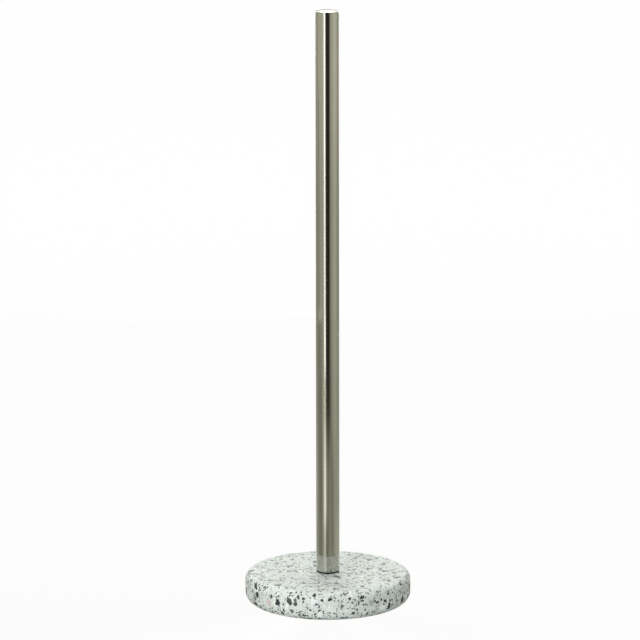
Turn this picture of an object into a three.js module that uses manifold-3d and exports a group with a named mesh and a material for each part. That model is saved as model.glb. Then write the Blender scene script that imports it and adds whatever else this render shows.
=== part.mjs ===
// Paper towel holder: a polished steel post standing on a round terrazzo base.
//
// Millimetres, +Z up. The origin lies on the surface that the holder stands on, under the post's axis,
// and -Y is the front. From the table up the assembly is: four stick-on rubber feet, a cast terrazzo
// disc with a stepped hole, a rubber gasket, and a steel tube with a threaded insert pressed into its
// foot and a cap pressed into its head. One M6 screw with a spring washer and a flat washer comes up
// through the disc from below, and pulls the post down on the gasket.
//
// Threads are plain cylinders here: the screw's shank has the thread's major diameter, and the insert's
// bore clears it.
import * as THREE from "three";
import { mergeVertices } from "three/addons/utils/BufferGeometryUtils.js";
import Module from "manifold-3d";

const wasm = await Module();
wasm.setup();

// ---------------------------------------------------------------- driving dimensions

const BASE = {
  diameter: 90.5,
  thickness: 15.8,
  topRound: 4.3, // radius of the polished top edge
  bottomRound: 5.2, // radius of the lower edge
};
const POST = { diameter: 12.7, wall: 0.6, length: 306.9, edgeBreak: 0.25 };
const CAP = {
  edge: 0.5, // straight rim above the tube
  crown: 0.9, // rise of the domed face above the rim
  seam: 0.05, // bevel on each side of the joint with the tube
  plugDepth: 7,
  plugWall: 0.8,
  leadIn: 0.4,
};
const INSERT = { length: 14, chamfer: 0.6 };
const GASKET = { diameter: 12.4, bore: 6.8, thickness: 0.8 };
const SCREW = {
  diameter: 6, // M6
  length: 25,
  headDiameter: 10.5,
  headHeight: 3.3,
  faceDiameter: 5.8, // flat in the middle of the domed head
  rimHeight: 0.6, // straight edge under the dome
  socketAcrossFlats: 4,
  socketDepth: 2.1,
  tipChamfer: 0.7,
};
const FLAT_WASHER = { diameter: 18, bore: 6.4, thickness: 1.6 };
const LOCK_WASHER = { diameter: 11.8, bore: 6.2, thickness: 1.6, split: 1.2, slant: 30 };
const FOOT = { diameter: 10, height: 2, round: 1.1, circleRadius: 31 };

const PRESS_GAP = 0.05; // radial gap that stands for a press fit
const THREAD_GAP = 0.1; // radial gap that stands for engaged threads
const SCREW_HOLE = 7; // clearance hole through the terrazzo
const COUNTERBORE = { diameter: 24, depth: 8, chamfer: 0.8 };
const SEAT_CLEARANCE = 2; // the roll's flat seat on the terrazzo starts this far outside the post

const BASE_SIDES = 72;
const POST_SIDES = 48; // the post and what fits in or under it
const SMALL_SIDES = 32; // the feet, the screw and the spring washer
const ARC_STEPS = 6; // segments in a quarter-round edge
const WELD = 1e-3; // vertices closer than this are one

// ---------------------------------------------------------------- heights, from the table up

const baseBottom = FOOT.height;
const baseTop = baseBottom + BASE.thickness;
const counterboreTop = baseBottom + COUNTERBORE.depth;
const postFoot = baseTop + GASKET.thickness;
const postHead = postFoot + POST.length;
const flatWasherFoot = counterboreTop - FLAT_WASHER.thickness;
const lockWasherFoot = flatWasherFoot - LOCK_WASHER.thickness;
const screwHeadTop = lockWasherFoot;
const screwHeadFoot = screwHeadTop - SCREW.headHeight;

const postBore = POST.diameter / 2 - POST.wall;
const plugRadius = postBore - PRESS_GAP;

// ---------------------------------------------------------------- materials

const material = (color, roughness, metalness) =>
  new THREE.MeshStandardMaterial({ color, roughness, metalness });

const terrazzo = material(0xe2e6e0, 0.3, 0);
const polishedSteel = material(0xb9b6a8, 0.12, 1);
const zincSteel = material(0xa9adb0, 0.35, 1);
const blackRubber = material(0x1b1c1b, 0.7, 0);
const greyRubber = material(0x3a3b3c, 0.75, 0);

// ---------------------------------------------------------------- geometry helpers

// Points [radius, height] of a quarter-round, from angle a to angle b in degrees, end points included.
function arc(r, z, radius, a, b, steps = ARC_STEPS) {
  return Array.from({ length: steps + 1 }, (_, i) => {
    const t = THREE.MathUtils.degToRad(a + ((b - a) * i) / steps);
    return [r + radius * Math.cos(t), z + radius * Math.sin(t)];
  });
}

// A solid of revolution about Z. The profile runs counter-clockwise in [radius, height], either from
// the axis back to the axis, or as a closed ring when it never touches the axis.
function turned(profile, sides) {
  const ring = profile.every(([r]) => r > 0);
  const points = (ring ? [...profile, profile[0]] : profile).map(([r, z]) => new THREE.Vector2(r, z));
  return new THREE.LatheGeometry(points, sides).rotateX(Math.PI / 2);
}

// A flat ring between two heights.
function washer(outer, bore, foot, thickness, sides = POST_SIDES) {
  const [ro, ri, top] = [outer / 2, bore / 2, foot + thickness];
  return turned([[ri, foot], [ro, foot], [ro, top], [ri, top]], sides);
}

function solid(geometry) {
  const bare = new THREE.BufferGeometry().setAttribute("position", geometry.getAttribute("position"));
  bare.setIndex(geometry.index);
  const merged = mergeVertices(bare, WELD);
  return new wasm.Manifold(
    new wasm.Mesh({
      numProp: 3,
      vertProperties: merged.attributes.position.array,
      triVerts: new Uint32Array(merged.index.array),
    }),
  );
}

// What is left of one geometry when another is cut out of it.
function cut(geometry, tool) {
  const mesh = solid(geometry).subtract(solid(tool)).getMesh();
  const left = new THREE.BufferGeometry();
  left.setAttribute("position", new THREE.BufferAttribute(mesh.vertProperties, mesh.numProp));
  left.setIndex(new THREE.BufferAttribute(mesh.triVerts, 1));
  left.computeVertexNormals();
  return left;
}

// ---------------------------------------------------------------- sub-parts

// Cast disc with rounded edges, a clearance hole and a counterbore that hides the screw's head.
function stoneBase() {
  const radius = BASE.diameter / 2;
  const { topRound, bottomRound } = BASE;
  const hole = SCREW_HOLE / 2;
  const bore = COUNTERBORE.diameter / 2;
  const seat = POST.diameter / 2 + SEAT_CLEARANCE;
  return turned(
    [
      [bore + COUNTERBORE.chamfer, baseBottom],
      ...arc(radius - bottomRound, baseBottom + bottomRound, bottomRound, -90, 0),
      ...arc(radius - topRound, baseTop - topRound, topRound, 0, 90),
      [seat, baseTop],
      [hole, baseTop],
      [hole, counterboreTop],
      [bore, counterboreTop],
      [bore, baseBottom + COUNTERBORE.chamfer],
    ],
    BASE_SIDES,
  );
}

// Thin ring between the terrazzo and the foot of the post.
function postGasket() {
  return washer(GASKET.diameter, GASKET.bore, baseTop, GASKET.thickness);
}

// Half-inch tube, its foot lightly broken on the outside and its head cut sharp to meet the cap.
function postTube() {
  const outer = POST.diameter / 2;
  const b = POST.edgeBreak;
  return turned(
    [
      [postBore, postFoot],
      [outer - b, postFoot],
      [outer, postFoot + b],
      [outer, postHead - CAP.seam],
      [outer - CAP.seam, postHead],
      [postBore, postHead],
    ],
    POST_SIDES,
  );
}

// Plug in the foot of the tube, flush with its end, with a through thread for the clamp screw.
function threadedInsert() {
  const bore = SCREW.diameter / 2 + THREAD_GAP;
  const c = INSERT.chamfer;
  const top = postFoot + INSERT.length;
  return turned(
    [
      [bore + c, postFoot],
      [plugRadius - c, postFoot],
      [plugRadius, postFoot + c],
      [plugRadius, top - c],
      [plugRadius - c, top],
      [bore + c, top],
      [bore, top - c],
      [bore, postFoot + c],
    ],
    POST_SIDES,
  );
}

// Points [radius, height] on the cap's dome from the axis out to a radius, lowered by a depth.
function dome(radius, depth) {
  const rim = POST.diameter / 2;
  const sphere = (rim ** 2 + CAP.crown ** 2) / (2 * CAP.crown);
  const centre = postHead + CAP.edge + CAP.crown - sphere;
  return Array.from({ length: ARC_STEPS + 1 }, (_, i) => {
    const r = (radius * i) / ARC_STEPS;
    return [r, centre + Math.sqrt(sphere ** 2 - r ** 2) - depth];
  });
}

// Drawn cup pressed into the head of the tube: a domed face as wide as the tube over a hollow plug.
function topCap() {
  const outer = POST.diameter / 2;
  const inner = plugRadius - CAP.plugWall;
  const plugFoot = postHead - CAP.plugDepth;
  return turned(
    [
      ...dome(inner, CAP.plugWall),
      [inner, plugFoot],
      [plugRadius - CAP.leadIn, plugFoot],
      [plugRadius, plugFoot + CAP.leadIn],
      [plugRadius, postHead],
      [outer - CAP.seam, postHead],
      [outer, postHead + CAP.seam],
      ...dome(outer, 0).reverse(),
    ],
    POST_SIDES,
  );
}

// Button-head socket screw, head down.
function clampScrew() {
  const shank = SCREW.diameter / 2;
  const head = SCREW.headDiameter / 2;
  const tip = screwHeadTop + SCREW.length;
  const face = SCREW.faceDiameter / 2;
  const rise = SCREW.headHeight - SCREW.rimHeight;
  const dome = Array.from({ length: ARC_STEPS + 1 }, (_, i) => {
    const t = (i / ARC_STEPS) * (Math.PI / 2);
    return [face + (head - face) * Math.sin(t), screwHeadFoot + rise * (1 - Math.cos(t))];
  });
  const body = turned(
    [
      [0, screwHeadFoot],
      ...dome,
      [head, screwHeadTop],
      [shank, screwHeadTop],
      [shank, tip - SCREW.tipChamfer],
      [shank - SCREW.tipChamfer, tip],
      [0, tip],
    ],
    SMALL_SIDES,
  );
  const overshoot = 1; // the socket's cutter starts this far below the head
  const across = SCREW.socketAcrossFlats / Math.sqrt(3); // corner radius of the hexagon
  const socket = new THREE.CylinderGeometry(across, across, SCREW.socketDepth + overshoot, 6)
    .rotateX(Math.PI / 2)
    .translate(0, 0, screwHeadFoot + (SCREW.socketDepth - overshoot) / 2);
  return cut(body, socket);
}

// Spring washer: a ring with one slanted split.
function lockWasher() {
  const { diameter, bore, thickness, split, slant } = LOCK_WASHER;
  const knife = new THREE.BoxGeometry(diameter, split, 4 * thickness)
    .rotateX(THREE.MathUtils.degToRad(slant))
    .translate(diameter / 2, 0, lockWasherFoot + thickness / 2);
  return cut(washer(diameter, bore, lockWasherFoot, thickness, SMALL_SIDES), knife);
}

// Stick-on bumper with a rounded lower edge, its flat top glued to the terrazzo.
function foot() {
  const radius = FOOT.diameter / 2;
  return turned(
    [
      [0, 0],
      ...arc(radius - FOOT.round, FOOT.round, FOOT.round, -90, 0),
      [radius, FOOT.height],
      [0, FOOT.height],
    ],
    SMALL_SIDES,
  );
}

// ---------------------------------------------------------------- assembly

const holder = new THREE.Group();

function add(name, geometry, look) {
  const mesh = new THREE.Mesh(geometry, look.clone());
  mesh.name = name;
  holder.add(mesh);
  return mesh;
}

const clampWasher = washer(FLAT_WASHER.diameter, FLAT_WASHER.bore, flatWasherFoot, FLAT_WASHER.thickness);

add("stone_base", stoneBase(), terrazzo);
add("post_gasket", postGasket(), blackRubber);
add("post_tube", postTube(), polishedSteel);
add("threaded_insert", threadedInsert(), zincSteel);
add("top_cap", topCap(), polishedSteel);
add("clamp_screw", clampScrew(), zincSteel);
add("lock_washer", lockWasher(), zincSteel);
add("flat_washer", clampWasher, zincSteel);

["back_right", "back_left", "front_left", "front_right"].forEach((corner, i, corners) => {
  const angle = (2 * Math.PI * (i + 0.5)) / corners.length;
  const bumper = add(`foot_${corner}`, foot(), greyRubber);
  bumper.position.set(FOOT.circleRadius * Math.cos(angle), FOOT.circleRadius * Math.sin(angle), 0);
});

export default holder;
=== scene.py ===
"""Paper towel holder: fine surfaces, materials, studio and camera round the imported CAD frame."""

import math

import bmesh
import bpy
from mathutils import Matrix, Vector

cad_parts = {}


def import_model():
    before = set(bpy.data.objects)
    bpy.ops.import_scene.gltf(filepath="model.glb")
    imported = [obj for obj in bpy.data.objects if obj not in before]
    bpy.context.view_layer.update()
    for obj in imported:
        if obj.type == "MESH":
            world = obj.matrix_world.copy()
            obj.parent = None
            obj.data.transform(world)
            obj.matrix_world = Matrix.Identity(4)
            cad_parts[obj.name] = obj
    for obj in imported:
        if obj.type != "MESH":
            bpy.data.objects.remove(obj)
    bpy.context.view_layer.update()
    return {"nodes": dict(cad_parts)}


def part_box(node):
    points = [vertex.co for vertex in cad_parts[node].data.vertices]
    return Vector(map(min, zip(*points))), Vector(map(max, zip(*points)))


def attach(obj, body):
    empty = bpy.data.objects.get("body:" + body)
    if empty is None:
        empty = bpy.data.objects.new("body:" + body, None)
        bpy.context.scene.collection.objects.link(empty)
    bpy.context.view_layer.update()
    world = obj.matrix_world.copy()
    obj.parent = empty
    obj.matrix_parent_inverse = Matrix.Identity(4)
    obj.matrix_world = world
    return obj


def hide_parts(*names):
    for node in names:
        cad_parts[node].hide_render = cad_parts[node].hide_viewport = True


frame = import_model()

MM = 0.001

# Rounds, bores and walls, in metres. Some edges are finer than the CAD solids hold.
TOP_ROUND = 4.3 * MM
BOTTOM_ROUND = 5.2 * MM
COUNTERBORE_R = 12 * MM
COUNTERBORE_CHAMFER = 0.8 * MM
SCREW_HOLE_R = 3.5 * MM
TUBE_EDGE = 0.28 * MM
TUBE_WALL = 0.6 * MM
PRESS_GAP = 0.05 * MM
CAP_EDGE = 0.5 * MM  # straight rim under the dome
CAP_ROUND = 0.12 * MM
CAP_SEAM = 0.05 * MM
CAP_WALL = 0.8 * MM
CAP_LEAD_IN = 0.4 * MM
GASKET_BORE_R = 3.4 * MM
GASKET_EDGE = 0.18 * MM
FOOT_ROUND = 1.1 * MM
FOOT_TOP_ROUND = 0.2 * MM
WASHER_BORE_R = 3.2 * MM
WASHER_EDGE = 0.22 * MM
LOCK_BORE_R = 3.1 * MM
LOCK_EDGE = 0.16 * MM
LOCK_SPLIT = 1.2 * MM
LOCK_SLANT = math.radians(30)

# M6 x 1 thread, and the button head over it.
THREAD_PITCH = 1.0 * MM
THREAD_MAJOR_R = 3.0 * MM
THREAD_ROOT_R = 2.39 * MM
THREAD_CLEARANCE = 0.08 * MM
THREAD_STEPS = 12  # rings per turn
THREAD_ROOT_FLAT = 1 / 4  # share of the pitch
THREAD_CREST_FLAT = 1 / 8
SCREW_FACE_R = 2.9 * MM
SCREW_RIM = 0.6 * MM
SCREW_NECK = 0.7 * MM
SCREW_POINT = 0.7 * MM
SOCKET_ACROSS_FLATS = 4 * MM
SOCKET_DEPTH = 2.1 * MM
SOCKET_CONE = 0.5 * MM
INSERT_CHAMFER = 0.6 * MM
KNURL_DEPTH = 0.12 * MM
KNURL_MARGIN = 2 * MM

SMOOTH = 256  # sides of what shows
PLAIN = 96  # sides of what hides
THREAD_SIDES = 48

AXIS = 1e-7  # a point nearer the axis than this is on it
HOLD = 0.1 * MM  # a long straight run has a second ring this far from each end
LONG_RUN = 10 * HOLD
SHARP_EDGE = math.radians(35)
DOME_STEPS = 16  # rings from the middle of the cap to its rim
HEAD_STEPS = 12  # rings down the side of the screw's head


# ---------------------------------------------------------------- mesh helpers


def arc(r, z, radius, start, end, steps=12):
    """Points (radius, height) of a round from start to end, in degrees."""
    angles = [math.radians(start + (end - start) * i / steps) for i in range(steps + 1)]
    return [(r + radius * math.cos(a), z + radius * math.sin(a)) for a in angles]


def rounded_ring(inner, outer, low, high, edge, steps=6):
    """Closed section of a ring whose four edges are rounded."""
    return [
        *arc(outer - edge, low + edge, edge, -90, 0, steps),
        *arc(outer - edge, high - edge, edge, 0, 90, steps),
        *arc(inner + edge, high - edge, edge, 90, 180, steps),
        *arc(inner + edge, low + edge, edge, 180, 270, steps),
    ]


def loop(radius, z, sides, centre=(0.0, 0.0)):
    """Points round a vertical axis. The radius is a number, or a function of the angle and the height."""
    if not callable(radius) and radius <= AXIS:
        return [(*centre, z)]
    points = []
    for i in range(sides):
        a = 2 * math.pi * i / sides
        r = radius(a, z) if callable(radius) else radius
        points.append((centre[0] + r * math.cos(a), centre[1] + r * math.sin(a), z))
    return points


def new_object(name, bm):
    mesh = bpy.data.meshes.new(name)
    bm.to_mesh(mesh)
    bm.free()
    made = bpy.data.objects.new(name, mesh)
    bpy.context.scene.collection.objects.link(made)
    return made


def shaded(made):
    """Smooth shading, but for edges over SHARP_EDGE."""
    made.data.shade_smooth()
    made.data.set_sharp_from_angle(angle=SHARP_EDGE)
    return made


def skinned(name, loops, ring=False):
    """Surface through a row of loops. A ring joins its last loop to its first."""
    bm = bmesh.new()
    rows = [[bm.verts.new(point) for point in points] for points in loops]
    sides = max(len(row) for row in rows)
    pairs = list(zip(rows, rows[1:]))
    if ring:
        pairs.append((rows[-1], rows[0]))
    for low, high in pairs:
        for i in range(sides):
            j = (i + 1) % sides
            corners = [low[i % len(low)], low[j % len(low)], high[j % len(high)], high[i % len(high)]]
            kept = list(dict.fromkeys(corners))
            if len(kept) > 2:
                bm.faces.new(kept)
    bmesh.ops.recalc_face_normals(bm, faces=bm.faces)
    return shaded(new_object(name, bm))


def held(section, ring):
    """The section with a point near each end of its long straight runs, so that they shade flat."""
    points = []
    ends = section[1:] + (section[:1] if ring else [])
    for (r, z), (next_r, next_z) in zip(section, ends):
        points.append((r, z))
        length = math.hypot(next_r - r, next_z - z)
        if length > LONG_RUN:
            step = HOLD / length
            for share in (step, 1 - step):
                points.append((r + (next_r - r) * share, z + (next_z - z) * share))
    return points if ring else points + section[-1:]


def turned(name, section, sides, centre=(0.0, 0.0)):
    """Solid of revolution of a section (radius, height) that starts and ends on the axis, or closes."""
    ring = min(r for r, _ in section) > AXIS
    return skinned(name, [loop(r, z, sides, centre) for r, z in held(section, ring)], ring)


def span(node):
    """Outer radius, lowest and highest height of a CAD node that is turned about the post's axis."""
    low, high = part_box(node)
    return (high.y - low.y) / 2, low.z, high.z


# ---------------------------------------------------------------- pieces

BASE_R, BASE_LOW, BASE_HIGH = span("stone_base")
POST_R, POST_LOW, POST_HIGH = span("post_tube")
CAP_R, CAP_LOW, CAP_HIGH = span("top_cap")
GASKET_R, GASKET_LOW, GASKET_HIGH = span("post_gasket")
SCREW_HEAD_R, SCREW_LOW, SCREW_HIGH = span("clamp_screw")
INSERT_R, INSERT_LOW, INSERT_HIGH = span("threaded_insert")
WASHER_R, WASHER_LOW, WASHER_HIGH = span("flat_washer")
LOCK_R, LOCK_LOW, LOCK_HIGH = span("lock_washer")


def make_base():
    """Terrazzo disc with its counterbore and clearance hole."""
    section = [
        (COUNTERBORE_R + COUNTERBORE_CHAMFER, BASE_LOW),
        *arc(BASE_R - BOTTOM_ROUND, BASE_LOW + BOTTOM_ROUND, BOTTOM_ROUND, -90, 0, 20),
        *arc(BASE_R - TOP_ROUND, BASE_HIGH - TOP_ROUND, TOP_ROUND, 0, 90, 20),
        (POST_R, BASE_HIGH),
        (SCREW_HOLE_R, BASE_HIGH),
        (SCREW_HOLE_R, WASHER_HIGH),
        (COUNTERBORE_R, WASHER_HIGH),
        (COUNTERBORE_R, BASE_LOW + COUNTERBORE_CHAMFER),
    ]
    return turned("terrazzo_base", section, SMOOTH)


def make_tube():
    """Tube with a rounded foot, and a nearly sharp head that meets the cap in a fine line."""
    bore = POST_R - TUBE_WALL
    section = [
        *arc(POST_R - TUBE_EDGE, POST_LOW + TUBE_EDGE, TUBE_EDGE, -90, 0, 6),
        *arc(POST_R - CAP_SEAM, POST_HIGH - CAP_SEAM, CAP_SEAM, 0, 90, 3),
        (bore, POST_HIGH),
        (bore, POST_LOW),
    ]
    return turned("steel_post", section, SMOOTH)


def make_cap():
    """Drawn cap: a domed face over a hollow plug, with a fine seam against the tube."""
    plug = CAP_R - TUBE_WALL - PRESS_GAP
    inner = plug - CAP_WALL
    rim = POST_HIGH + CAP_EDGE
    crown = CAP_HIGH - rim
    sphere = (CAP_R ** 2 + crown ** 2) / (2 * crown)
    centre = CAP_HIGH - sphere
    bend = CAP_R - CAP_ROUND
    lift = math.sqrt((sphere - CAP_ROUND) ** 2 - bend ** 2)

    def dome(radius, depth):
        steps = [radius * i / DOME_STEPS for i in range(DOME_STEPS + 1)]
        return [(r, centre - depth + math.sqrt(sphere ** 2 - r ** 2)) for r in steps]

    section = [
        *dome(inner, CAP_WALL),
        (inner, CAP_LOW),
        (plug - CAP_LEAD_IN, CAP_LOW),
        (plug, CAP_LOW + CAP_LEAD_IN),
        (plug, POST_HIGH),
        *arc(CAP_R - CAP_SEAM, POST_HIGH + CAP_SEAM, CAP_SEAM, -90, 0, 3),
        *arc(bend, centre + lift, CAP_ROUND, 0, math.degrees(math.atan2(lift, bend)), 6)[:-1],
        *reversed(dome(bend * sphere / (sphere - CAP_ROUND), 0)),
    ]
    return turned("post_cap", section, SMOOTH)


def make_gasket():
    section = rounded_ring(GASKET_BORE_R, GASKET_R, GASKET_LOW, GASKET_HIGH, GASKET_EDGE)
    return turned("rubber_gasket", section, SMOOTH)


def make_foot(node):
    """Stick-on bumper: rounded underneath, its flat top against the stone."""
    low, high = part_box(node)
    radius = (high.x - low.x) / 2
    section = [
        (0, low.z),
        *arc(radius - FOOT_ROUND, low.z + FOOT_ROUND, FOOT_ROUND, -90, 0, 10),
        *arc(radius - FOOT_TOP_ROUND, high.z - FOOT_TOP_ROUND, FOOT_TOP_ROUND, 0, 90, 4),
        (0, high.z),
    ]
    centre = ((low.x + high.x) / 2, (low.y + high.y) / 2)
    return turned("bumper_" + node, section, PLAIN, centre)


def make_flat_washer():
    section = rounded_ring(WASHER_BORE_R, WASHER_R, WASHER_LOW, WASHER_HIGH, WASHER_EDGE)
    return turned("large_washer", section, PLAIN)


def make_lock_washer():
    """Spring washer: a rounded square section swept from one face of the slanted split to the other."""
    section = rounded_ring(LOCK_BORE_R, LOCK_R, LOCK_LOW, LOCK_HIGH, LOCK_EDGE, 3)
    middle = (LOCK_LOW + LOCK_HIGH) / 2
    half_gap = LOCK_SPLIT / 2 / math.cos(LOCK_SLANT)
    bm = bmesh.new()
    rows = []
    for i in range(PLAIN + 1):
        share = i / PLAIN
        row = []
        for r, z in section:
            lean = (middle - z) * math.tan(LOCK_SLANT)
            start = math.asin((lean + half_gap) / r)
            end = 2 * math.pi + math.asin((lean - half_gap) / r)
            a = start + (end - start) * share
            row.append(bm.verts.new((r * math.cos(a), r * math.sin(a), z)))
        rows.append(row)
    for low, high in zip(rows, rows[1:]):
        for i in range(len(section)):
            j = (i + 1) % len(section)
            bm.faces.new([low[i], low[j], high[j], high[i]])
    bm.faces.new(rows[0])
    bm.faces.new(rows[-1])
    bmesh.ops.recalc_face_normals(bm, faces=bm.faces)
    return shaded(new_object("spring_washer", bm))


def thread_radius(angle, z):
    """Outside of the screw's thread: a 60 degree V with narrow flats, one turn per pitch."""
    turn = (z / THREAD_PITCH - angle / (2 * math.pi)) % 1.0
    rise = abs(2 * turn - 1)
    flank = 1 - THREAD_ROOT_FLAT - THREAD_CREST_FLAT
    share = min(max((rise - THREAD_ROOT_FLAT) / flank, 0.0), 1.0)
    return THREAD_ROOT_R + (THREAD_MAJOR_R - THREAD_ROOT_R) * share


def thread_levels(low, high):
    count = round((high - low) / THREAD_PITCH * THREAD_STEPS)
    return [low + (high - low) * i / count for i in range(count + 1)]


def socket_radius(angle, _):
    """Hexagon of the socket, flat to flat across the X axis."""
    turn = (angle + math.pi / 6) % (math.pi / 3) - math.pi / 6
    return SOCKET_ACROSS_FLATS / 2 / math.cos(turn)


def make_screw():
    """Button-head socket screw, head down, with its real thread."""
    point = SCREW_HIGH - SCREW_POINT

    def shank(angle, z):
        return min(thread_radius(angle, z), THREAD_MAJOR_R - max(z - point, 0.0))

    rise = LOCK_LOW - SCREW_RIM - SCREW_LOW
    dome = [math.pi / 2 * i / HEAD_STEPS for i in range(HEAD_STEPS, -1, -1)]
    levels = thread_levels(LOCK_LOW + SCREW_NECK, SCREW_HIGH)
    loops = [loop(0, SCREW_HIGH, THREAD_SIDES)]
    loops += [loop(shank, z, THREAD_SIDES) for z in reversed(levels)]
    loops += [loop(r, LOCK_LOW, THREAD_SIDES) for r in (THREAD_ROOT_R, SCREW_HEAD_R)]
    loops += [
        loop(SCREW_FACE_R + (SCREW_HEAD_R - SCREW_FACE_R) * math.sin(t),
             SCREW_LOW + rise * (1 - math.cos(t)), THREAD_SIDES)
        for t in dome
    ]
    loops += [loop(socket_radius, SCREW_LOW, THREAD_SIDES)]
    loops += [loop(socket_radius, SCREW_LOW + SOCKET_DEPTH, THREAD_SIDES)]
    loops += [loop(0, SCREW_LOW + SOCKET_DEPTH + SOCKET_CONE, THREAD_SIDES)]
    return skinned("m6_screw", loops)


def make_insert():
    """Tapped plug: knurled outside, and inside the same thread as the screw with a little clearance."""
    low, high = INSERT_LOW + INSERT_CHAMFER, INSERT_HIGH - INSERT_CHAMFER

    def tapped(angle, z):
        return thread_radius(angle, z) + THREAD_CLEARANCE

    def knurled(angle, _):
        return INSERT_R - KNURL_DEPTH * (round(angle / (2 * math.pi) * PLAIN) % 2)

    mouth = THREAD_MAJOR_R + INSERT_CHAMFER
    loops = [
        loop(INSERT_R - INSERT_CHAMFER, INSERT_LOW, PLAIN),
        loop(INSERT_R, low, PLAIN),
        loop(INSERT_R, INSERT_LOW + KNURL_MARGIN, PLAIN),
        loop(knurled, INSERT_LOW + KNURL_MARGIN + KNURL_DEPTH, PLAIN),
        loop(knurled, INSERT_HIGH - KNURL_MARGIN - KNURL_DEPTH, PLAIN),
        loop(INSERT_R, INSERT_HIGH - KNURL_MARGIN, PLAIN),
        loop(INSERT_R, high, PLAIN),
        loop(INSERT_R - INSERT_CHAMFER, INSERT_HIGH, PLAIN),
        loop(mouth, INSERT_HIGH, PLAIN),
    ]
    loops += [loop(tapped, z, PLAIN) for z in reversed(thread_levels(low, high))]
    loops += [loop(mouth, INSERT_LOW, PLAIN)]
    return skinned("tapped_insert", loops, ring=True)


# ---------------------------------------------------------------- node helpers


class Nodes:
    """Short way to build one material's node tree."""

    def __init__(self, name):
        self.material = bpy.data.materials.new(name)
        self.material.use_nodes = True
        self.tree = self.material.node_tree
        self.tree.nodes.clear()
        self.output = self.tree.nodes.new("ShaderNodeOutputMaterial")

    def add(self, kind, inputs=None, **settings):
        node = self.tree.nodes.new("ShaderNode" + kind)
        for key, value in settings.items():
            setattr(node, key, value)
        for key, value in (inputs or {}).items():
            self.set(node.inputs[key], value)
        return node

    def set(self, socket, value):
        if isinstance(value, bpy.types.NodeSocket):
            self.tree.links.new(value, socket)
        else:
            socket.default_value = value

    def math(self, operation, a, b=0.0, c=0.0):
        return self.add("Math", {0: a, 1: b, 2: c}, operation=operation).outputs[0]

    def vector(self, operation, a, b):
        return self.add("VectorMath", {0: a, 1: b}, operation=operation).outputs[0]

    def mix(self, factor, a, b, blend="MIX"):
        node = self.add("Mix", data_type="RGBA", blend_type=blend)
        self.set(node.inputs["Factor"], factor)
        self.set(node.inputs["A"], a)
        self.set(node.inputs["B"], b)
        return node.outputs["Result"]

    def ramp(self, factor, stops, interpolation="LINEAR"):
        node = self.add("ValToRGB", {0: factor})
        ramp = node.color_ramp
        ramp.interpolation = interpolation
        while len(ramp.elements) < len(stops):
            ramp.elements.new(1.0)
        for element, (place, colour) in zip(ramp.elements, stops):
            element.position = place
            element.color = (*colour, 1.0)
        return node.outputs[0]

    def remap(self, value, low, high, start=0.0, end=1.0, **settings):
        """The value, carried from the range low to high onto start to end."""
        inputs = {0: value, 1: low, 2: high, 3: start, 4: end}
        return self.add("MapRange", inputs, **settings).outputs[0]

    def smooth(self, value, low, high):
        return self.remap(value, low, high, interpolation_type="SMOOTHSTEP")

    def noise(self, place, scale, detail=2.0):
        return self.add("TexNoise", {"Vector": place, "Scale": scale, "Detail": detail})

    def finish(self, shader):
        self.tree.links.new(shader, self.output.inputs["Surface"])
        return self.material


def shade(colour, factor):
    return (*[min(1.0, c * factor) for c in colour], 1.0)


# ---------------------------------------------------------------- materials

CHIP_WOBBLE = 0.9 * MM  # how far the chips' outlines stray
STONE_IOR = 1.52
SEAL_WEIGHT = 0.4
SEAL_ROUGHNESS = 0.5

STEEL = (0.60, 0.585, 0.545)
ZINC_PLATE = (0.52, 0.54, 0.55)
LINES_SCALE = (60.0, 60.0, 5200.0)  # polishing lines: long round the axis, fine along it
STREAK_ROUGHNESS = 0.3
QUARTER_TURN = 0.25


def chip_layer(n, where, size, share, gap, seed):
    """One size of stone chips: a mask of the chips, and a random number for each."""
    settings = {"Vector": n.vector("ADD", where, (seed, seed * 0.7, -seed)), "Scale": 1 / size}
    cells = n.add("TexVoronoi", settings, feature="F1")
    edges = n.add("TexVoronoi", settings, feature="DISTANCE_TO_EDGE")
    pick = n.add("SeparateColor", {0: cells.outputs["Color"]}).outputs
    chosen = n.math("LESS_THAN", pick[0], share)
    margin = n.math("MULTIPLY_ADD", pick[1], gap, gap * 0.3)
    inside = n.smooth(edges.outputs["Distance"], margin, n.math("ADD", margin, 0.05))
    return n.math("MULTIPLY", chosen, inside), pick[2]


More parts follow.
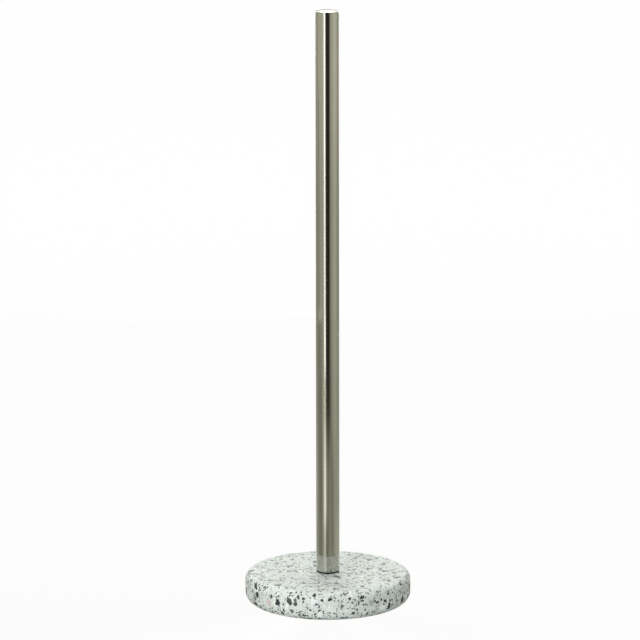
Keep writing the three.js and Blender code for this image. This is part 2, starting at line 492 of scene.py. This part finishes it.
def terrazzo():
    """White cement with angular chips of dark, grey, bluish and pale stone, ground and sealed."""
    n = Nodes("terrazzo_stone")
    place = n.add("TexCoord").outputs["Object"]
    wobble = n.vector("SUBTRACT", n.noise(place, 900.0).outputs["Color"], (0.5, 0.5, 0.5))
    where = n.vector("ADD", place, n.vector("MULTIPLY", wobble, (CHIP_WOBBLE,) * 3))

    cloud = n.noise(place, 140.0, 3.0).outputs["Fac"]
    cement = n.ramp(cloud, [(0.3, (0.66, 0.715, 0.675)), (0.7, (0.785, 0.84, 0.80))])
    grain = n.noise(place, 1500.0).outputs["Fac"]
    cement = n.mix(1.0, cement, n.ramp(grain, [(0.32, (0.78,) * 3), (0.6, (1.0,) * 3)]), "MULTIPLY")

    pale = [
        (0.0, (0.62, 0.57, 0.51)),
        (0.16, (0.80, 0.86, 0.86)),
        (0.44, (0.86, 0.89, 0.84)),
        (0.66, (0.42, 0.45, 0.44)),
        (0.84, (0.52, 0.59, 0.61)),
    ]
    dark = [
        (0.0, (0.020, 0.027, 0.027)),
        (0.42, (0.045, 0.058, 0.056)),
        (0.66, (0.10, 0.125, 0.118)),
        (0.84, (0.16, 0.150, 0.130)),
        (0.90, (0.24, 0.27, 0.26)),
    ]
    # size, share of the cells that are chips, gap round a chip, seed, colours
    layers = [
        (1.3 * MM, 0.30, 0.22, 1.7, pale),
        (1.2 * MM, 0.22, 0.16, 3.1, dark),
        (3.4 * MM, 0.16, 0.16, 2.3, pale),
        (2.1 * MM, 0.25, 0.17, 0.9, dark),
        (3.6 * MM, 0.16, 0.19, 5.9, dark),
    ]
    colour = cement
    for size, share, gap, seed, stones in layers:
        mask, pick = chip_layer(n, where, size, share, gap, seed)
        colour = n.mix(mask, colour, n.ramp(pick, stones, "CONSTANT"))

    pits = n.smooth(n.noise(place, 3200.0, 1.0).outputs["Fac"], 0.70, 0.76)
    wave = n.noise(place, 300.0).outputs["Fac"]
    height = n.math("MULTIPLY_ADD", wave, 0.3, n.math("MULTIPLY", pits, -1.0))
    bump = n.add("Bump", {"Strength": 0.2, "Distance": 0.03 * MM, "Height": height}).outputs[0]
    roughness = n.remap(wave, 0.3, 0.7, 0.55, 0.65)
    shader = n.add("BsdfPrincipled", {"Base Color": colour, "Roughness": roughness, "Normal": bump})
    shader.inputs["IOR"].default_value = STONE_IOR
    shader.inputs["Coat Weight"].default_value = SEAL_WEIGHT
    shader.inputs["Coat Roughness"].default_value = SEAL_ROUGHNESS
    return n.finish(shader.outputs[0])


def steel(name, base, roughness, wear, relief, streak):
    """Bright steel with slow changes of gloss. The polishing lines run round the axis, so a share of
    the light, the streak, is spread up and down."""
    n = Nodes(name)
    place = n.add("TexCoord").outputs["Object"]
    stretch = n.add("Mapping", {"Vector": place, "Scale": LINES_SCALE}).outputs[0]
    lines = n.noise(stretch, 1.0, 3.0).outputs["Fac"]
    cloud = n.noise(place, 120.0, 3.0).outputs["Fac"]
    both = n.math("MULTIPLY_ADD", cloud, 0.6, lines)
    rough = n.math("MULTIPLY_ADD", n.math("SUBTRACT", both, 0.8), wear, roughness)
    colour = n.mix(cloud, shade(base, 0.97), shade(base, 1.03))
    bump = n.add("Bump", {"Strength": relief, "Distance": 0.01 * MM, "Height": lines}).outputs[0]
    inputs = {"Base Color": colour, "Metallic": 1.0, "Roughness": rough, "Normal": bump}
    mirror = n.add("BsdfPrincipled", inputs).outputs[0]
    round_axis = n.add("Tangent", direction_type="RADIAL", axis="Z").outputs[0]
    inputs["Roughness"] = STREAK_ROUGHNESS
    inputs["Anisotropic"] = 1.0
    inputs["Anisotropic Rotation"] = QUARTER_TURN
    inputs["Tangent"] = round_axis
    brushed = n.add("BsdfPrincipled", inputs).outputs[0]
    return n.finish(n.add("MixShader", {0: streak, 1: mirror, 2: brushed}).outputs[0])


def rubber(name, base):
    n = Nodes(name)
    place = n.add("TexCoord").outputs["Object"]
    grain = n.noise(place, 2500.0, 3.0).outputs["Fac"]
    colour = n.mix(grain, shade(base, 0.7), shade(base, 1.3))
    bump = n.add("Bump", {"Strength": 0.3, "Distance": 0.03 * MM, "Height": grain}).outputs[0]
    rough = n.remap(grain, 0.0, 1.0, 0.6, 0.85)
    shader = n.add("BsdfPrincipled", {"Base Color": colour, "Roughness": rough, "Normal": bump})
    return n.finish(shader.outputs[0])


# ---------------------------------------------------------------- assembly


def fit(piece, material, slot, *nodes):
    """Gives a piece its material, hangs it under the root body and hides the CAD nodes it stands for."""
    piece.data.materials.append(material)
    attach(piece, "root")
    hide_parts(*nodes)


POLISHED = steel("polished_steel", STEEL, roughness=0.055, wear=0.03, relief=0.02, streak=0.15)
SPUN = steel("spun_steel", STEEL, roughness=0.055, wear=0.03, relief=0.02, streak=0.0)
ZINC = steel("zinc_steel", ZINC_PLATE, roughness=0.34, wear=0.12, relief=0.3, streak=0.2)
BLACK = rubber("black_rubber", (0.006, 0.006, 0.006))
GREY = rubber("grey_rubber", (0.04, 0.04, 0.042))

fit(make_base(), terrazzo(), "terrazzo", "stone_base")
fit(make_tube(), POLISHED, "polished_steel", "post_tube")
fit(make_cap(), SPUN, "polished_steel", "top_cap")
fit(make_gasket(), BLACK, "black_rubber", "post_gasket")
fit(make_screw(), ZINC, "zinc_steel", "clamp_screw")
fit(make_insert(), ZINC, "zinc_steel", "threaded_insert")
fit(make_flat_washer(), ZINC, "zinc_steel", "flat_washer")
fit(make_lock_washer(), ZINC, "zinc_steel", "lock_washer")
for node in sorted(n for n in frame["nodes"] if n.startswith("foot_")):
    fit(make_foot(node), GREY, "grey_rubber", node)


# ---------------------------------------------------------------- studio

SHELL_R = 0.777
SHELL_H = 2.2
SHELL_SIDES = 192
SHELL_FOOT = 0.5 * MM  # the shell is wall above this, and table below it
LAMP_LEVEL = 6.0
BOARD_LEVEL = 1.4
CEILING_LEVEL = 0.6
UPRIGHT_LEVEL = 0.12
UPRIGHT_SHARE = 0.45
WORKTOP_EDGE_LEVEL = 0.62
WALL_GAIN = 0.28  # how much brighter the wall is higher up
LEFT_WALL = (0.21, 0.34)  # in turns, like every bearing below that isn't in degrees
BRIGHT_TINT = (1, 1, 0.96, 1)
DULL_TINT = (0.99, 1.0, 0.80, 1)
FLOOR_R = 8.0
FLOOR_Z = -0.05 * MM
PAPER = (1.0, 0.995, 0.997)


def seen_by(piece, camera=False, diffuse=False, glossy=False, shadow=False):
    piece.visible_camera = camera
    piece.visible_diffuse = diffuse
    piece.visible_glossy = glossy
    piece.visible_shadow = shadow
    piece.visible_transmission = camera


def disc(name, radius, z, sides=96):
    bm = bmesh.new()
    bmesh.ops.create_circle(bm, cap_ends=True, segments=sides, radius=radius)
    bmesh.ops.translate(bm, verts=bm.verts, vec=(0, 0, z))
    return new_object(name, bm)


def white_floor():
    """The pale floor in the picture: bright paper that takes only a trace of shadow."""
    n = Nodes("floor_paper")
    place = n.add("TexCoord").outputs["Object"]
    fibre = n.noise(place, 700.0).outputs["Fac"]
    tone = n.mix(fibre, (0.14, 0.14, 0.14, 1), (0.16, 0.16, 0.16, 1))
    shader = n.add("BsdfPrincipled", {"Base Color": tone, "Roughness": 0.9})
    shader.inputs["Emission Color"].default_value = (*PAPER, 1)
    shader.inputs["Emission Strength"].default_value = 0.93
    floor = disc("floor", FLOOR_R, FLOOR_Z)
    floor.data.materials.append(n.finish(shader.outputs[0]))
    seen_by(floor, camera=True)


def backdrop():
    """White beyond the floor's edge, for views near the horizon."""
    bm = bmesh.new()
    bmesh.ops.create_uvsphere(bm, u_segments=48, v_segments=24, radius=FLOOR_R * 1.5)
    dome = new_object("backdrop", bm)
    n = Nodes("backdrop_white")
    shader = n.add("Emission", {"Color": (*PAPER, 1), "Strength": 1.02})
    dome.data.materials.append(n.finish(shader.outputs[0]))
    seen_by(dome, camera=True)


def table_bounce():
    """What the worktop gives back to the holder: a grey sheet that only diffuse light meets."""
    n = Nodes("table_bounce")
    shader = n.add("BsdfDiffuse", {"Color": (0.55, 0.56, 0.55, 1)})
    table = disc("table", FLOOR_R, FLOOR_Z)
    table.data.materials.append(n.finish(shader.outputs[0]))
    seen_by(table, diffuse=True, shadow=True)


# Brightness by bearing in degrees: 0 is the front, positive to the right, 180 straight behind.
WALL = (
    (-180, 0.36), (-140, 0.37), (-116, 0.27), (-98, 0.42), (-67, 0.45), (-47, 0.46), (-40, 0.58),
    (-33, 0.80), (-29, 1.65), (-23, 1.65), (-19, 0.42), (-14, 0.05), (-8, 0.018), (15, 0.018),
    (20, 0.06), (27, 0.29), (36, 0.40), (50, 0.41), (67, 0.54), (89, 0.51), (106, 0.41), (123, 0.27),
    (140, 0.38),
)
FAR_TABLE = (
    (-180, 0.36), (-137, 0.39), (-116, 0.29), (-89, 0.24), (-67, 0.29), (-47, 0.41), (-39, 0.52),
    (-33, 0.55), (-28, 2.2), (-23, 2.2), (-18, 0.26), (-13, 0.03), (-7, 0.02), (15, 0.02), (20, 0.06),
    (27, 0.24), (36, 0.34), (47, 0.38), (67, 0.48), (89, 0.46), (106, 0.41), (123, 0.35), (140, 0.42),
)
MID_TABLE = (
    (-180, 0.36), (-137, 0.41), (-116, 0.31), (-89, 0.23), (-67, 0.22), (-47, 0.42), (-37, 0.60),
    (-29, 0.70), (-22, 0.64), (-15, 0.16), (-9, 0.035), (14, 0.03), (22, 0.10),
    (35, 0.27), (47, 0.35), (67, 0.48), (89, 0.44), (106, 0.38), (123, 0.34), (140, 0.42),
)
NEAR_TABLE = (
    (-180, 0.40), (-137, 0.48), (-116, 0.42), (-89, 0.24), (-64, 0.20), (-47, 0.38), (-36, 0.9),
    (-27, 1.35), (-20, 1.1), (-14, 0.52), (-6, 0.34), (3, 0.27), (12, 0.27), (23, 0.33),
    (35, 0.26), (47, 0.235), (67, 0.38), (89, 0.43), (106, 0.40), (123, 0.45), (140, 0.42),
)
CLOSE_TABLE = (
    (-180, 0.38), (-137, 0.48), (-116, 0.40), (-89, 0.25), (-64, 0.22), (-47, 0.33), (-36, 0.58),
    (-26, 0.72), (-20, 0.45), (-14, 0.26), (-6, 0.22), (3, 0.23), (12, 0.28), (23, 0.37),
    (35, 0.27), (47, 0.22), (67, 0.38), (89, 0.50), (106, 0.50), (123, 0.50), (140, 0.5),
)
ROOM = (
    (-180, 0.8), (-168, 0.8), (-160, 7), (-148, 7), (-140, 0.5), (-48, 0.45), (-34, 0.5), (-30, 8),
    (-24, 8), (-20, 0.02), (20, 0.02), (40, 0.4), (140, 0.5), (148, 7), (160, 7), (168, 0.8),
)


def bearing_profile(n, turn, levels):
    return n.ramp(turn, [((degrees + 180) / 360, (level,) * 3) for degrees, level in levels])


def even(level):
    return (level, level, level, 1)


def both(n, a, b):
    return n.math("MULTIPLY", a, b)


def sector(n, turn, start, full, fade, end):
    """1 from full to fade, falling to 0 at start and end."""
    return both(n, n.smooth(turn, start, full), n.smooth(turn, end, fade))


def at_back(n, turn, full, fade):
    """1 within full of a turn of straight behind the post, 0 beyond fade."""
    return n.math("ADD", n.smooth(turn, fade, full), n.smooth(turn, 1 - fade, 1 - full))


def table_level(n, turn, flat):
    """The worktop, whose brightness changes with the distance from the post."""
    away = n.add("VectorMath", {0: flat}, operation="LENGTH").outputs["Value"]
    close, near, mid, far = [
        bearing_profile(n, turn, levels) for levels in (CLOSE_TABLE, NEAR_TABLE, MID_TABLE, FAR_TABLE)
    ]
    table = n.mix(n.smooth(away, 0.13, 0.23), close, near)
    table = n.mix(n.smooth(away, 0.25, 0.52), table, mid)
    return n.mix(n.smooth(away, 0.54, 0.66), table, far)


def wall_level(n, turn, z):
    gain = n.math("MULTIPLY_ADD", n.smooth(z, 0.07, 0.20), WALL_GAIN, 1.0)
    return n.mix(1.0, bearing_profile(n, turn, WALL), gain, "MULTIPLY")


def left_wall_details(n, turn, z, above, level):
    """A dark upright on the left wall, and the worktop's bright edge along the wall's foot."""
    upright = both(n, sector(n, turn, 0.222, 0.234, 0.256, 0.268), above)
    upright = both(n, upright, n.smooth(z, 0.185, 0.165))
    level = n.mix(n.math("MULTIPLY", upright, UPRIGHT_SHARE), level, even(UPRIGHT_LEVEL))
    start, end = LEFT_WALL
    left = both(n, n.math("LESS_THAN", turn, end), n.math("GREATER_THAN", turn, start))
    low = both(n, above, n.smooth(z, 11 * MM, 2 * MM))
    return n.mix(both(n, left, low), level, even(WORKTOP_EDGE_LEVEL))


def lights_behind(n, turn, z, above, level):
    """A high lamp and a low white board, both behind the post, and the even ceiling over all."""
    lamp = both(n, at_back(n, turn, 0.10, 0.16), n.smooth(z, 0.62, 0.74))
    level = n.mix(lamp, level, even(LAMP_LEVEL))
    board = both(n, both(n, at_back(n, turn, 0.025, 0.045), above), n.smooth(z, 0.27, 0.24))
    level = n.mix(board, level, even(BOARD_LEVEL))
    return n.mix(n.smooth(z, 1.3, 1.7), level, even(CEILING_LEVEL))


def shell_material():
    """The room as the polished post mirrors it. Low down: a dark doorway in front with a white softbox
    at its left, grey walls and a darker table. Higher up, the softbox and two bright back corners."""
    n = Nodes("studio_shell")
    place = n.add("TexCoord").outputs["Object"]
    x, y, z = n.add("SeparateXYZ", {0: place}).outputs
    bearing = n.math("ARCTAN2", x, n.math("MULTIPLY", y, -1.0))
    turn = n.math("MULTIPLY_ADD", bearing, 0.5 / math.pi, 0.5)
    flat = n.add("CombineXYZ", {0: x, 1: y}).outputs[0]
    above = n.math("GREATER_THAN", z, SHELL_FOOT)

    level = n.mix(above, table_level(n, turn, flat), wall_level(n, turn, z))
    level = left_wall_details(n, turn, z, above, level)
    level = n.mix(n.smooth(z, 0.27, 0.33), level, bearing_profile(n, turn, ROOM))
    level = lights_behind(n, turn, z, above, level)
    tint = n.mix(n.smooth(level, 1.2, 0.5), BRIGHT_TINT, DULL_TINT)
    colour = n.mix(1.0, level, tint, "MULTIPLY")
    shader = n.add("Emission", {"Color": colour, "Strength": 1.0})
    return n.finish(shader.outputs[0])


def studio_shell():
    """Table, walls and ceiling that only reflections see."""
    outline = ((0.0, 0.0), (SHELL_R / 2, 0.0), (SHELL_R, 0.0), (SHELL_R, SHELL_H), (0.0, SHELL_H))
    shell = skinned("studio_shell", [loop(r, z, SHELL_SIDES) for r, z in outline])
    shell.data.materials.append(shell_material())
    seen_by(shell, glossy=True)


# name, place, target, width and height in metres, power in watts
LIGHTS = (
    ("key_front_left", (-0.75, -1.1, 0.45), (0, 0, 0.05), (0.8, 0.8), 11.5),
    ("fill_front_right", (0.7, -1.0, 0.4), (0, 0, 0.05), (0.6, 0.8), 2.5),
    ("overhead", (0, 0.3, 1.6), (0, 0, 0), (0.8, 0.8), 4.8),
)
WORLD_LEVEL = 0.42


def area_light(name, place, target, size, power):
    data = bpy.data.lights.new(name, "AREA")
    data.shape = "RECTANGLE"
    data.size, data.size_y = size
    data.energy = power
    light = bpy.data.objects.new(name, data)
    bpy.context.scene.collection.objects.link(light)
    light.location = place
    light.rotation_euler = (Vector(target) - Vector(place)).to_track_quat("-Z", "Y").to_euler()
    light.visible_glossy = False
    light.visible_camera = False


def world(strength):
    air = bpy.data.worlds.new("studio_air")
    air.use_nodes = True
    background = air.node_tree.nodes["Background"]
    background.inputs["Color"].default_value = (1, 1, 1, 1)
    background.inputs["Strength"].default_value = strength
    bpy.context.scene.world = air


white_floor()
backdrop()
table_bounce()
studio_shell()
for light in LIGHTS:
    area_light(*light)
world(WORLD_LEVEL)


# ---------------------------------------------------------------- camera

CAMERA_AWAY = 1.882
CAMERA_ABOVE_BASE = 0.5277
CAMERA_PITCH = 11.623
CAMERA_ROLL = 0.1
CAMERA_LEFT = 0.0034
LENS_MM = 199.9
SENSOR_MM = 36.0

data = bpy.data.cameras.new("camera")
data.sensor_width = SENSOR_MM
data.lens = LENS_MM
data.clip_start = 0.05
data.clip_end = 100.0
camera = bpy.data.objects.new("camera", data)
bpy.context.scene.collection.objects.link(camera)
camera.location = (-CAMERA_LEFT, -CAMERA_AWAY, BASE_HIGH + CAMERA_ABOVE_BASE)
camera.rotation_euler = (math.radians(90 - CAMERA_PITCH), math.radians(CAMERA_ROLL), 0)
bpy.context.scene.camera = camera
bpy.context.scene.view_settings.view_transform = "Standard"
